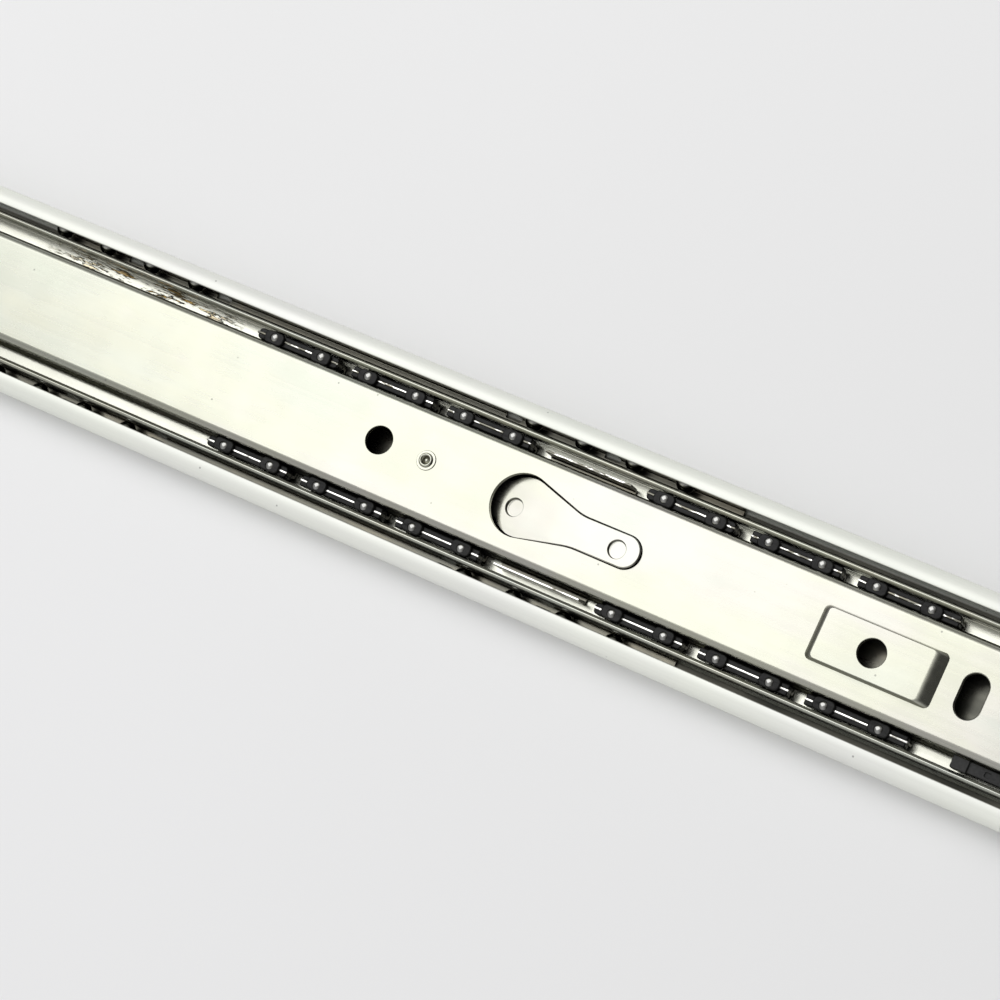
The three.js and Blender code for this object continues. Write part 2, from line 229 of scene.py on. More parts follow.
def pear_outline(back_angle=180):
    """The pear, whole, or open at its back from a given angle so that a strip can join it."""
    def outline(grow):
        big = PEAR["big"] + grow
        tip = PEAR["tip"] + grow
        halves = []
        for side in (1, -1):
            flank = tip + side * PEAR["tip_y"]
            across = PEAR["taper_x"] - PEAR["big_x"]
            leave = math.degrees(math.atan2(flank, across) + math.acos(big / math.hypot(across, flank)))
            round_end = arc((PEAR["big_x"], 0), big, back_angle, leave, 30)
            bend = Vector((PEAR["taper_x"], flank))
            before = bend + (round_end[-1] - bend).normalized() * PEAR["soft"]
            after = bend + Vector((PEAR["soft"], 0))
            turn = [before.lerp(bend, t).lerp(bend.lerp(after, t), t) for t in (0, 0.25, 0.5, 0.75, 1)]
            end = arc((PEAR["tip_x"], side * PEAR["tip_y"]), tip, 90, 0, 14)
            halves.append([Vector((p.x, side * p.y)) for p in round_end + turn + end])
        upper, lower = halves
        shared = 1 if back_angle == 180 else 0
        return upper + list(reversed(lower))[1:len(lower) - shared]
    return outline


def punch(bm, outline, bottom, top, rolled=0.22, burr=0.08):
    """A cutter for a punched hole: its wall rolls outward at the top face and a little at the bottom."""
    levels = [(bottom - 1, burr), (bottom, burr), (bottom + burr, 0)]
    for degrees in (0, 25, 50, 75):
        angle = math.radians(degrees)
        levels.append((top - rolled + rolled * math.sin(angle), rolled * (1 - math.cos(angle))))
    levels.append((top + 1, levels[-1][1] + 0.05))
    loft(bm, [[(p.x, p.y, z) for p in outline(grow)] for z, grow in levels])


def dish(bm, outline, bottom, top):
    """A cutter for a blind cup: a rounded foot inside and a rolled rim at the top."""
    levels = [(bottom, -0.3), (bottom + 0.08, -0.1), (bottom + 0.28, 0), (top - 0.14, 0)]
    levels += [(top - 0.06, 0.04), (top, 0.12), (top + 1, 0.2)]
    loft(bm, [[(p.x, p.y, z) for p in outline(grow)] for z, grow in levels])


def button(bm, outline, bottom, top, edge):
    """A flat-topped body with rounded top and bottom edges."""
    levels = rounded_steps(bottom, top, edge)
    loft(bm, [[(p.x, p.y, z) for p in outline(-inset)] for z, inset in levels])


def cross_bar(bm, x, z, y0, y1, radius, steps=32):
    """A round bar along Y."""
    ring = arc((x, z), radius, 0, 360 - 360 / steps, steps - 1)
    loft(bm, [[(p.x, y, p.y) for p in ring] for y in (y0, y1)])


def evaluated(piece):
    """Replaces a piece's mesh by what its modifiers make of it, and drops the modifiers."""
    graph = bpy.context.evaluated_depsgraph_get()
    mesh = bpy.data.meshes.new_from_object(piece.evaluated_get(graph))
    piece.modifiers.clear()
    piece.data = mesh


def combine(piece, tool_mesh, operation):
    """Joins a tool made in bmesh to a piece, or cuts it out of the piece."""
    tool = to_object("tool", tool_mesh)
    modifier = piece.modifiers.new("combine", "BOOLEAN")
    modifier.operation = operation
    modifier.solver = "EXACT"
    modifier.object = tool
    evaluated(piece)
    bpy.data.objects.remove(tool)


def shade(piece, angle=32):
    """Smooth across gentle turns, sharp across the rest, with flat faces kept flat."""
    mesh = piece.data
    for polygon in mesh.polygons:
        polygon.use_smooth = True
    mesh.set_sharp_from_angle(angle=math.radians(angle))
    weighted = piece.modifiers.new("weighted", "WEIGHTED_NORMAL")
    weighted.keep_sharp = True
    weighted.weight = 100
    evaluated(piece)


def mirror(piece):
    """Turns a piece for the far side into its twin for the near side."""
    piece.data.transform(Matrix.Scale(-1, 4, (0, 1, 0)))
    piece.data.flip_normals()


def finish(piece, body, slot, material, *nodes):
    piece.data.materials.clear()
    piece.data.materials.append(material)
    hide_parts(*nodes)
    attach(piece, body)


# ---------- Materials ----------

class Nodes:
    """A short way to write a material's nodes."""

    def __init__(self, name):
        self.material = bpy.data.materials.new(name)
        self.material.use_nodes = True
        self.tree = self.material.node_tree
        self.shader = self.tree.nodes["Principled BSDF"]
        self.place = self.tree.nodes.new("ShaderNodeTexCoord").outputs["Object"]

    def node(self, kind, inputs=None, **settings):
        made = self.tree.nodes.new(kind)
        for key, value in settings.items():
            setattr(made, key, value)
        for key, value in (inputs or {}).items():
            self.put(made.inputs[key], value)
        return made

    def put(self, socket, value):
        if isinstance(value, bpy.types.NodeSocket):
            self.tree.links.new(value, socket)
        else:
            socket.default_value = value

    def stretched(self, x, y, z):
        made = self.node("ShaderNodeMapping", {"Vector": self.place, "Scale": (x, y, z)})
        return made.outputs["Vector"]

    def noise(self, vector, scale, detail=3.0, rough=0.5):
        made = self.node("ShaderNodeTexNoise", {
            "Vector": vector, "Scale": scale, "Detail": detail, "Roughness": rough})
        return made.outputs["Fac"]

    def span(self, value, low, high, to_low=0.0, to_high=1.0):
        made = self.node("ShaderNodeMapRange", {
            "Value": value, "From Min": low, "From Max": high, "To Min": to_low, "To Max": to_high})
        return made.outputs["Result"]

    def axes(self):
        return self.node("ShaderNodeSeparateXYZ", {"Vector": self.place}).outputs

    def math(self, operation, a, b):
        return self.node("ShaderNodeMath", {0: a, 1: b}, operation=operation).outputs[0]

    def ramp(self, value, *stops):
        made = self.node("ShaderNodeValToRGB", {"Fac": value})
        band = made.color_ramp
        while len(band.elements) < len(stops):
            band.elements.new(0.5)
        for element, (at, colour) in zip(band.elements, stops):
            element.position = at
            element.color = (*colour, 1)
        return made.outputs["Color"]

    def mix(self, factor, a, b, blend="MIX"):
        made = self.node("ShaderNodeMix", data_type="RGBA", blend_type=blend)
        self.put(made.inputs["Factor"], factor)
        self.put(made.inputs[6], a)
        self.put(made.inputs[7], b)
        return made.outputs[2]

    def bump(self, height, strength, distance, normal=None):
        inputs = {"Height": height, "Strength": strength, "Distance": distance}
        if normal is not None:
            inputs["Normal"] = normal
        return self.node("ShaderNodeBump", inputs).outputs["Normal"]

    def set(self, **inputs):
        for key, value in inputs.items():
            self.put(self.shader.inputs[key.replace("_", " ")], value)
        return self.material


def specks(n, scale, size, share):
    """Small round marks: 1 inside a mark, in about that share of the cells of a Voronoi pattern."""
    cells = n.node("ShaderNodeTexVoronoi", {"Vector": n.place, "Scale": scale})
    inside = n.span(cells.outputs["Distance"], size, size * 0.6)
    picked = n.node("ShaderNodeSeparateColor", {"Color": cells.outputs["Color"]}).outputs["Red"]
    chosen = n.math("LESS_THAN", picked, share)
    return n.math("MULTIPLY", inside, chosen)


def zinc_plate(name, tints, roughness, dirt=0.0):
    """Zinc plate on rolled steel: faint tints, drawing lines along X, and a few specks."""
    n = Nodes(name)
    clouds = n.noise(n.stretched(14, 40, 40), 1.0, 4.0, 0.55)
    colour = n.ramp(clouds, *tints)
    lines = n.noise(n.stretched(6, 900, 900), 1.0, 2.0)
    shadowed = n.span(lines, 0.3, 0.7, 0.95, 1.0)
    grey = n.node("ShaderNodeCombineColor", {"Red": shadowed, "Green": shadowed, "Blue": shadowed})
    colour = n.mix(1.0, colour, grey.outputs["Color"], "MULTIPLY")
    marks = specks(n, 700, 0.2, 0.012)
    colour = n.mix(n.math("MULTIPLY", marks, 0.6), colour, (0.12, 0.12, 0.11, 1))
    if dirt:
        mottle = n.noise(n.stretched(60, 200, 200), 1.0, 5.0, 0.6)
        colour = n.mix(n.span(mottle, 0.5, 0.75, 0.0, dirt), colour, (0.30, 0.26, 0.19, 1))
    peel = n.noise(n.place, 1500, 2.0)
    uneven = n.math("ADD", lines, n.noise(n.place, 90, 3.0))
    rough = n.span(uneven, 0.7, 1.3, roughness - 0.03, roughness + 0.04)
    normal = n.bump(lines, 0.12, 0.00003)
    normal = n.bump(peel, 0.08, 0.00003, normal)
    return n, colour, rough, normal


def painted_shade(n, colour, inside, dark, light):
    """The colour, covered inside an area by painted shade, mottled between two tones."""
    mottle = n.noise(n.stretched(50, 160, 160), 1.0, 4.0)
    return n.mix(inside, colour, n.ramp(mottle, (0.35, dark), (0.65, light)))


def plain_zinc(name, tints, roughness):
    n, colour, rough, normal = zinc_plate(name, tints, roughness)
    return n.set(Base_Color=colour, Metallic=1.0, Roughness=rough, Normal=normal)


def outer_zinc():
    """The outer member: a dull white lip, and a race and channel floor darkened with painted shade."""
    n, colour, rough, normal = zinc_plate("lip_zinc", LIP_TINTS, 0.52)
    _, y, z = n.axes()
    across = n.math("SUBTRACT", n.math("ABSOLUTE", y, 0), OUTER_BALL["y"] * MM)
    height = n.math("SUBTRACT", z, OUTER_BALL["z"] * MM)
    squares = n.math("ADD", n.math("MULTIPLY", across, across), n.math("MULTIPLY", height, height))
    reach = n.math("SQRT", squares, 0)
    race = n.span(reach, 0.0028, 0.0026)
    channel = n.math("MULTIPLY", n.span(across, -0.0004, -0.0008), n.span(z, 0.0008, 0.001))
    inside = n.math("MAXIMUM", race, channel)
    # Painted shade: the race and the channel floor are darkened where shade falls inside the outer member.
    colour = painted_shade(n, colour, inside, (0.10, 0.10, 0.085), (0.19, 0.185, 0.155))
    metallic = n.span(inside, 0, 1, 0.25, 1.0)
    return n.set(Base_Color=colour, Metallic=metallic, Roughness=rough, Normal=normal)


def race_zinc():
    """The intermediate member: a floor darkened with painted shade where it lies under the inner member, and
    an amber smear in the far race.
    """
    n, colour, rough, normal = zinc_plate("race_zinc", RACE_TINTS, 0.24, 0.3)
    x, y, z = n.axes()
    aside = n.math("ABSOLUTE", y, 0)
    race = n.math("MULTIPLY", n.span(aside, 0.0118, 0.0124), n.span(aside, 0.0158, 0.0154))
    race = n.math("MULTIPLY", race, n.span(z, 0.0080, 0.0074))
    colour = n.mix(race, colour, (0.42, 0.42, 0.37, 1))
    # Painted shade: the web floor under the inner member is darkened where shade falls.
    floor = n.math("MULTIPLY", n.span(aside, 0.0116, 0.0104), n.span(z, 0.0029, 0.0031))
    colour = painted_shade(n, colour, floor, (0.055, 0.055, 0.047), (0.11, 0.108, 0.09))
    where = n.math("MULTIPLY", n.span(x, -0.040, -0.014), n.span(x, 0.018, 0.002))
    where = n.math("MULTIPLY", where, n.span(y, 0.0122, 0.0128))
    where = n.math("MULTIPLY", where, n.span(y, 0.0160, 0.0155))
    streaks = n.noise(n.stretched(130, 900, 900), 1.0, 6.0, 0.7)
    smear = n.math("MULTIPLY", where, n.span(streaks, 0.52, 0.56))
    amber = n.ramp(n.noise(n.stretched(80, 500, 500), 1.0, 3.0),
                   (0.38, (0.42, 0.34, 0.18)), (0.52, (0.30, 0.20, 0.07)), (0.64, (0.06, 0.05, 0.03)))
    colour = n.mix(smear, colour, amber)
    normal = n.bump(smear, 0.5, 0.0003, normal)
    return n.set(Base_Color=colour, Metallic=1.0, Roughness=rough, Normal=normal)


def cage_zinc():
    """Strip darkened by grease, worn bright along the top edge of the inner cage's flanges, with a painted
    highlight there too; on the far side the bright edge is broken up, painted duller.
    """
    n, colour, rough, normal = zinc_plate("cage_zinc", CAGE_TINTS, 0.28, 0.4)
    _, y, z = n.axes()
    # The bright top edge is wear and also a painted highlight for the glint along it.
    edge_wear_and_glint = n.span(z, 0.00895, 0.00915)
    rub_and_glint = n.span(n.noise(n.stretched(220, 90, 90), 1.0, 3.0), 0.34, 0.46)
    broken = n.span(n.noise(n.stretched(420, 2000, 90), 1.0, 3.0), 0.50, 0.54)
    # On the far side the bright edge is broken up: painted to look duller there.
    far = n.span(y, 0, 0.001)
    rub_and_glint = n.math("MULTIPLY", rub_and_glint, n.math("MAXIMUM", broken, n.span(far, 0, 1, 1, 0)))
    colour = n.mix(n.math("MULTIPLY", edge_wear_and_glint, rub_and_glint), colour, (0.92, 0.92, 0.88, 1))
    return n.set(Base_Color=colour, Metallic=1.0, Roughness=rough, Normal=normal)


FACE_TINTS = (
    (0.28, (0.325, 0.340, 0.290)),
    (0.42, (0.340, 0.346, 0.300)),
    (0.52, (0.345, 0.346, 0.290)),
    (0.62, (0.348, 0.340, 0.308)),
    (0.75, (0.332, 0.344, 0.312)),
)
RACE_TINTS = (
    (0.30, (0.31, 0.33, 0.28)),
    (0.50, (0.36, 0.36, 0.31)),
    (0.70, (0.33, 0.34, 0.31)),
)
LIP_TINTS = (
    (0.30, (0.77, 0.79, 0.73)),
    (0.50, (0.80, 0.815, 0.75)),
    (0.70, (0.78, 0.785, 0.75)),
)
CAGE_TINTS = (
    (0.30, (0.10, 0.10, 0.085)),
    (0.50, (0.15, 0.145, 0.12)),
    (0.70, (0.12, 0.12, 0.105)),
)


def ball_chrome():
    n = Nodes("bearing_steel")
    # Dark grey steel, mottled between two tones; the roughness follows the same mottle.
    mottle = n.noise(n.place, 700, 3.0)
    colour = n.ramp(mottle, (0.35, (0.26, 0.26, 0.25)), (0.65, (0.14, 0.135, 0.12)))
    rough = n.span(mottle, 0.35, 0.7, 0.05, 0.14)
    return n.set(Base_Color=colour, Metallic=1.0, Roughness=rough)


def black_nylon(name, low_rough, high_rough, shine, ripple):
    """Moulded black plastic; a ripple stands for the film of grease on it."""
    n = Nodes(name)
    grain = n.noise(n.place, 2600, 3.0, 0.6)
    cloud = n.noise(n.place, 160, 3.0)
    colour = n.ramp(cloud, (0.3, (0.006, 0.006, 0.006)), (0.7, (0.014, 0.014, 0.013)))
    rough = n.span(grain, 0.3, 0.7, low_rough, high_rough)
    normal = n.bump(grain, 0.25, 0.00006)
    if ripple:
        normal = n.bump(n.noise(n.stretched(260, 700, 700), 1.0, 2.0), ripple, 0.0003, normal)
    return n.set(Base_Color=colour, Roughness=rough, Normal=normal, Specular_IOR_Level=shine)


def floor_paper():
    n = Nodes("pale_floor")
    tone = n.noise(n.place, 2.2, 2.0)
    colour = n.ramp(tone, (0.3, (0.755, 0.755, 0.755)), (0.7, (0.785, 0.785, 0.79)))
    tooth = n.noise(n.place, 900, 3.0)
    return n.set(Base_Color=colour, Roughness=0.85, Normal=n.bump(tooth, 0.05, 0.0001))


FACE_ZINC = plain_zinc("face_zinc", FACE_TINTS, 0.26)
LIP_ZINC = outer_zinc()
RACE_ZINC = race_zinc()
CAGE_ZINC = cage_zinc()
LATCH_ZINC = plain_zinc("latch_zinc", FACE_TINTS, 0.2)
CHROME = ball_chrome()
NYLON = black_nylon("black_nylon", 0.42, 0.6, 0.3, 0)
HOLDER_NYLON = black_nylon("greased_nylon", 0.2, 0.4, 0.12, 0.7)


# ---------- Members ----------

# Screw holes, pegs and stops: radii and sizes, and places along X
SCREW_HOLE = 2.3
SCREW_SLOT = {"length": 9, "width": 4.6}
PEG = 1.2
PEG_HOLE = 1.5
OUTER_ROUND = (188, 60, -68, -196)
OUTER_ALONG = (156, -36, -164)
OUTER_ACROSS = {"x": (124, -100), "length": 8}
OUTER_PEG_X = -220.3
OUTER_STOP = {"x": 207.8, "reach": 1.95}
SHEAR = {"y": 9, "plug": 2.2, "hollow": 1.9, "root": 0.5}
MIDDLE_STOPS = ({"x": 312.5, "direction": 1, "reach": 4.35}, {"x": -99.8, "direction": -1, "reach": 1.5})
MIDDLE_PEGS = {"x": -104.2, "y": 4}
ACCESS_SLOTS = {"x": (285, 165, 45, -55), "length": 24, "width": 11}
INNER_ROUND = (278, -92)
INNER_ALONG = (310, -65)
INNER_TABS = {"x0": -88.3, "x1": -82.8, "y": 12.25, "half": 0.45, "bottom": 3.9, "top": 5.9}
PAD_HOLE = {"x": OUTER_FRONT - 37.6, "radius": 3.1}
PLAIN_HOLE = {"x": OUTER_FRONT - 160, "y": 1.1, "radius": 3.25}
CROSS_SLOT = {"x": OUTER_FRONT - 15.3, "length": 10, "width": 5.6}
RIVET = {"x": OUTER_FRONT - 147.5, "y": 1, "web_hole": 1.8, "latch_hole": 1.9}
CLIP_PEG_X = 222


def outer_line():
    race = OUTER_BALL["race"] + SHEET / 2
    bend = 1.2
    slope = 25
    foot_y = OUTER_BALL["y"] + race * math.cos(math.radians(slope))
    foot_z = OUTER_BALL["z"] - race * math.sin(math.radians(slope))
    corner = foot_y - (foot_z - OUTER_WEB) * math.tan(math.radians(slope))
    centre = (corner - bend * math.tan(math.radians((90 - slope) / 2)), OUTER_WEB + bend)
    return (arc(centre, bend, -90, -slope, 8)
            + arc((OUTER_BALL["y"], OUTER_BALL["z"]), race, -slope, 103, 44))


def intermediate_line():
    bend_centre, bend = (15.56, 3.876), 1.076
    outer = (OUTER_BALL["y"], OUTER_BALL["z"])
    inner = (INNER_BALL["y"], INNER_BALL["z"])
    return (arc(bend_centre, bend, -90, 25, 12)
            + arc(outer, OUTER_BALL["race"] + SHEET / 2, 205, 176.5, 10)[1:]
            + arc(inner, INNER_BALL["race"] + SHEET / 2, -3.5, 44, 18))


def inner_line():
    wall, bend = 11.25, 1.0
    race = (INNER_BALL["y"], INNER_BALL["z"])
    return (arc((wall - bend, FACE_HEIGHT - SHEET / 2 - bend), bend, 90, 0, 10)
            + arc(race, INNER_BALL["race"] + SHEET / 2, 155, 228, 20)
            + [Vector((12.25, 5.55))])


def half_shears(x, direction, web_low, web_high, reach):
    """The pushed-out plugs that serve as stops, and the hollows behind them, on both sides."""
    plugs, hollows = bmesh.new(), bmesh.new()
    for y in (-SHEAR["y"], SHEAR["y"]):
        plug, hollow = circle_outline(x, y, SHEAR["plug"]), circle_outline(x, y, SHEAR["hollow"])
        if direction > 0:
            button(plugs, plug, web_high - SHEAR["root"], reach, 0.15)
            button(hollows, hollow, web_low - 1, web_high - SHEAR["root"], 0.1)
        else:
            button(plugs, plug, reach, web_low + SHEAR["root"], 0.15)
            button(hollows, hollow, web_low + SHEAR["root"], web_high + 1, 0.1)
    return plugs, hollows


def outer_member():
    piece = folded_strip("outer_member_rolled", both_sides(outer_line()), SHEET, SHEET_RIM,
                         OUTER_LOW.x, OUTER_HIGH.x)
    tab = bmesh.new()
    ring = box_outline(-6, 6, 0.3, 8, 1.2)(0)
    loft(tab, [[(x, p.x, p.y) for p in ring] for x in (OUTER_LOW.x, OUTER_LOW.x + SHEET)])
    combine(piece, tab, "UNION")
    plugs, hollows = half_shears(OUTER_STOP["x"], 1, 0, SHEET, OUTER_STOP["reach"])
    combine(piece, plugs, "UNION")
    for x in OUTER_ROUND:
        punch(hollows, circle_outline(x, 0, SCREW_HOLE), 0, SHEET)
    for x in OUTER_ALONG:
        punch(hollows, slot_outline(x, 0, SCREW_SLOT["length"], SCREW_SLOT["width"], "x"), 0, SHEET)
    for x in OUTER_ACROSS["x"]:
        punch(hollows, slot_outline(x, 0, OUTER_ACROSS["length"], SCREW_SLOT["width"], "y"), 0, SHEET)
    punch(hollows, circle_outline(OUTER_PEG_X, 0, PEG_HOLE, 32), 0, SHEET)
    combine(piece, hollows, "DIFFERENCE")
    shade(piece)
    finish(piece, "outer", "zinc_steel", LIP_ZINC, "outer_member")


def intermediate_member():
    low = INTERMEDIATE_WEB - SHEET / 2
    high = INTERMEDIATE_WEB + SHEET / 2
    piece = folded_strip("intermediate_member_rolled", both_sides(intermediate_line()), SHEET, SHEET_RIM,
                         MIDDLE_LOW.x, MIDDLE_HIGH.x)
    holes = bmesh.new()
    for stop in MIDDLE_STOPS:
        plugs, hollows = half_shears(stop["x"], stop["direction"], low, high, stop["reach"])
        combine(piece, plugs, "UNION")
        combine(piece, hollows, "DIFFERENCE")
    for y in (-MIDDLE_PEGS["y"], MIDDLE_PEGS["y"]):
        punch(holes, circle_outline(MIDDLE_PEGS["x"], y, PEG_HOLE, 32), low, high)
    for x in ACCESS_SLOTS["x"]:
        punch(holes, slot_outline(x, 0, ACCESS_SLOTS["length"], ACCESS_SLOTS["width"], "x"), low, high)
    combine(piece, holes, "DIFFERENCE")
    shade(piece)
    finish(piece, "intermediate", "zinc_steel", RACE_ZINC, "intermediate_member")


# The raised pad: its foot, its height, and how far each ramp runs in
PAD = {"x": (OUTER_FRONT - 51.1, OUTER_FRONT - 22.5), "half": 6.25, "height": 1.8,
       "back_ramp": 1.8, "front_ramp": 3.0, "side": 0.6}


def embossed(bm, lower, outset, skirt):
    """The pad's raised shape: ramps that start sharply at the face and round over into a flat top."""
    half_width = PAD["half"] + outset
    steps = 9
    rings = []
    for i in range(-1, steps + 1):
        share = max(i, 0) / steps
        rise = math.sin(share * math.pi / 2)
        z = lower + PAD["height"] * rise - (skirt if i < 0 else 0)
        back = PAD["x"][0] - outset + PAD["back_ramp"] * share
        front = PAD["x"][1] + outset - PAD["front_ramp"] * share
        y = half_width - PAD["side"] * share
        outline = box_outline(back, front, -y, y, 1.3 - 0.5 * share)(0)
        rings.append([(p.x, p.y, z) for p in outline])
    loft(bm, rings)


def inner_member():
    piece = folded_strip("inner_member_rolled", both_sides(inner_line()), SHEET, SHEET_RIM,
                         INNER_LOW.x, INNER_HIGH.x)
    web_low = FACE_HEIGHT - SHEET
    raised, tabs = bmesh.new(), bmesh.new()
    embossed(raised, FACE_HEIGHT - 0.03, 0, 0.5)
    combine(piece, raised, "UNION")
    half = INNER_TABS["half"]
    for y in (-INNER_TABS["y"], INNER_TABS["y"]):
        foot = box_outline(INNER_TABS["x0"], INNER_TABS["x1"], y - half, y + half, 0.3)
        button(tabs, foot, INNER_TABS["bottom"], INNER_TABS["top"], 0.12)
    combine(piece, tabs, "UNION")
    hollow = bmesh.new()
    embossed(hollow, web_low, -1.0, 2)
    combine(piece, hollow, "DIFFERENCE")
    holes = bmesh.new()
    pad_top = FACE_HEIGHT + PAD["height"]
    wide_roll, narrow_roll = 0.32, 0.12
    pad_hole = circle_outline(PAD_HOLE["x"], 0, PAD_HOLE["radius"], 64)
    punch(holes, pad_hole, pad_top - SHEET, pad_top, wide_roll)
    plain_hole = circle_outline(PLAIN_HOLE["x"], PLAIN_HOLE["y"], PLAIN_HOLE["radius"], 64)
    punch(holes, plain_hole, web_low, FACE_HEIGHT)
    punch(holes, circle_outline(RIVET["x"], RIVET["y"], RIVET["web_hole"], 32), web_low, FACE_HEIGHT)
    cross_slot = slot_outline(CROSS_SLOT["x"], 0, CROSS_SLOT["length"], CROSS_SLOT["width"], "y")
    punch(holes, cross_slot, web_low, FACE_HEIGHT, wide_roll)
    punch(holes, pear_outline(), web_low, FACE_HEIGHT, narrow_roll)
    for x in INNER_ALONG:
        punch(holes, slot_outline(x, 0, SCREW_SLOT["length"], SCREW_SLOT["width"], "x"), web_low, FACE_HEIGHT)
    for x in INNER_ROUND:
        punch(holes, circle_outline(x, 0, SCREW_HOLE), web_low, FACE_HEIGHT)
    for y0, y1 in ((-14, -9), (9, 14)):
        cross_bar(holes, CLIP_PEG_X, INNER_BALL["z"], y0, y1, PEG_HOLE)
    combine(piece, holes, "DIFFERENCE")
    shade(piece)
    finish(piece, "inner", "zinc_steel", FACE_ZINC, "inner_member")


# ---------- Cages and balls ----------

def ball_centres(prefix):
    """Where along X the balls of a row stand."""
    boxes = [node_box(n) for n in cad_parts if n.startswith(prefix)]
    return sorted((low.x + high.x) / 2 for low, high in boxes)


def notch_centres(centres):
    """Notches lie half a pitch from a ball: after every second ball, and at both ends of a bare stretch."""
    pitch = centres[1] - centres[0]
    middles = []
    for before, after in zip(centres[1::2], centres[2::2]):
        middles.append(before + pitch / 2)
        if after - before > pitch + 0.5:
            middles.append(after - pitch / 2)
    return middles


# The cages: the height of the web, the top of the flanges, and the places of the long slots
OUTER_CAGE = {"web": 1.7, "top": 6.7, "slots": (0, 36, 110)}
INNER_CAGE = {"web": 4.1, "top": 9.3, "slots": (96, 131, 167)}
CAGE_SLOT = {"length": 30, "width": 14}


def cage(name, node, body, ball, shape):
    """A strip folded up at both sides, with a pocket for each ball and notches between pairs of balls."""
    low, high = node_box(node)
    fold = CAGE_SHEET
    flange = ball["y"]
    web = shape["web"]
    line = arc((flange - fold, web + fold), fold, -90, 0, 8) + [Vector((flange, shape["top"]))]
    piece = folded_strip(name, both_sides(line), CAGE_SHEET, CAGE_RIM, low.x, high.x)
    centres = ball_centres(node.replace("_ball_retainer", "_ball_near_"))
    cuts = bmesh.new()
    for x in centres:
        cross_bar(cuts, x, ball["z"], -flange - 2, flange + 2, ball["radius"] + 0.12)
    combine(piece, cuts, "DIFFERENCE")
    notches = bmesh.new()
    for x in notch_centres(centres):
        for side in (-1, 1):
            y0, y1 = sorted((side * (flange - 1.3), side * (flange + 2)))
            button(notches, box_outline(x - 2, x + 2, y0, y1, 0.4), web - 1, 14, 0.3)
    for x in shape["slots"]:
        slot = slot_outline(x, 0, CAGE_SLOT["length"], CAGE_SLOT["width"], "x")
        punch(notches, slot, web - CAGE_SHEET / 2, web + CAGE_SHEET / 2, 0.1, 0.05)
    combine(piece, notches, "DIFFERENCE")
    shade(piece)
    finish(piece, body, "cage_steel", CAGE_ZINC, node)


# The moulded holders: how far they reach on both sides of the flange, and their lowest and highest
# point; the corner cut away beside the edge of the inner member's wall; the collar round each ball
HOLDER = {"y0": 12.4, "y1": 15.0, "z0": 5.55, "z1": 9.1}
HOLDER_RELIEF = {"y": 12.74, "z": 6.68}
COLLAR = {"half": 2.5, "y0": 12.05, "y1": 15.05, "bottom": 8.0, "top": 10.05}


def ball_holder(name, x0, x1, corner, ball_xs):
    """One holder for the far side, open along the cage's flange, with a pocket for each ball."""
    flange = INNER_BALL["y"]
    bm = bmesh.new()
    button(bm, box_outline(x0, x1, HOLDER["y0"], HOLDER["y1"], corner), HOLDER["z0"], HOLDER["z1"], 0.3)
    piece = to_object(name, bm)
    gap = bmesh.new()
    button(gap, box_outline(x0 - 1, x1 + 1, flange - 0.34, flange + 0.34, 0.1), 6.3, 12, 0.05)
    combine(piece, gap, "DIFFERENCE")
    relief = bmesh.new()
    button(relief, box_outline(x0 - 1, x1 + 1, HOLDER["y0"] - 1, HOLDER_RELIEF["y"], 0.1),
           HOLDER["z0"] - 1, HOLDER_RELIEF["z"], 0.05)
    combine(piece, relief, "DIFFERENCE")
    for x in ball_xs:
        collar, pocket = bmesh.new(), bmesh.new()
        around = box_outline(x - COLLAR["half"], x + COLLAR["half"], COLLAR["y0"], COLLAR["y1"], 1.1)
        button(collar, around, COLLAR["bottom"], COLLAR["top"], 0.35)
        combine(piece, collar, "UNION")
        radius = INNER_BALL["radius"] + 0.1
        bmesh.ops.create_uvsphere(pocket, u_segments=32, v_segments=20, radius=radius)
        bmesh.ops.translate(pocket, verts=pocket.verts, vec=(x, flange, INNER_BALL["z"]))
        combine(piece, pocket, "DIFFERENCE")
    return piece


def ball_holders():
    """Black nylon round the inner cage's flange, one holder for each pair of balls on each side."""
    low, high = node_box("inner_ball_retainer")
    centres = ball_centres("inner_ball_near_")
    pitch = centres[1] - centres[0]
    for side_name, side in (("near", -1), ("far", 1)):
        for number, (first, second) in enumerate(zip(centres[0::2], centres[1::2])):
            starts_group = number == 0 or first - centres[2 * number - 1] > pitch + 0.5
            x0 = low.x + 0.3 if number == 0 else first - pitch / 2 + 2
            x1 = high.x - 0.3 if second == centres[-1] else second + pitch / 2 - 2
            name = f"inner_ball_holder_{side_name}_{number + 1}"
            piece = ball_holder(name, x0, x1, 0.9 if starts_group else 0.4, (first, second))
            if side < 0:
                mirror(piece)
            shade(piece)
            piece.data.materials.append(HOLDER_NYLON)
            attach(piece, "inner_cage")


def balls():
    rows = (("outer_ball", "outer_cage", OUTER_BALL), ("inner_ball", "inner_cage", INNER_BALL))
    for prefix, body, ball in rows:
        bm = bmesh.new()
        bmesh.ops.create_uvsphere(bm, u_segments=28, v_segments=18, radius=ball["radius"] * MM)
        mesh = bpy.data.meshes.new(prefix + "_mesh")
        bm.to_mesh(mesh)
        bm.free()
        for polygon in mesh.polygons:
            polygon.use_smooth = True
        for node in sorted(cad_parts):
            if node.startswith((prefix + "_near", prefix + "_far")):
                low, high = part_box(node)
                piece = bpy.data.objects.new(node + "_polished", mesh.copy())
                bpy.context.scene.collection.objects.link(piece)
                piece.location = (low + high) / 2
                bpy.context.view_layer.update()
                finish(piece, body, "ball_steel", CHROME, node)


# ---------- Latch ----------

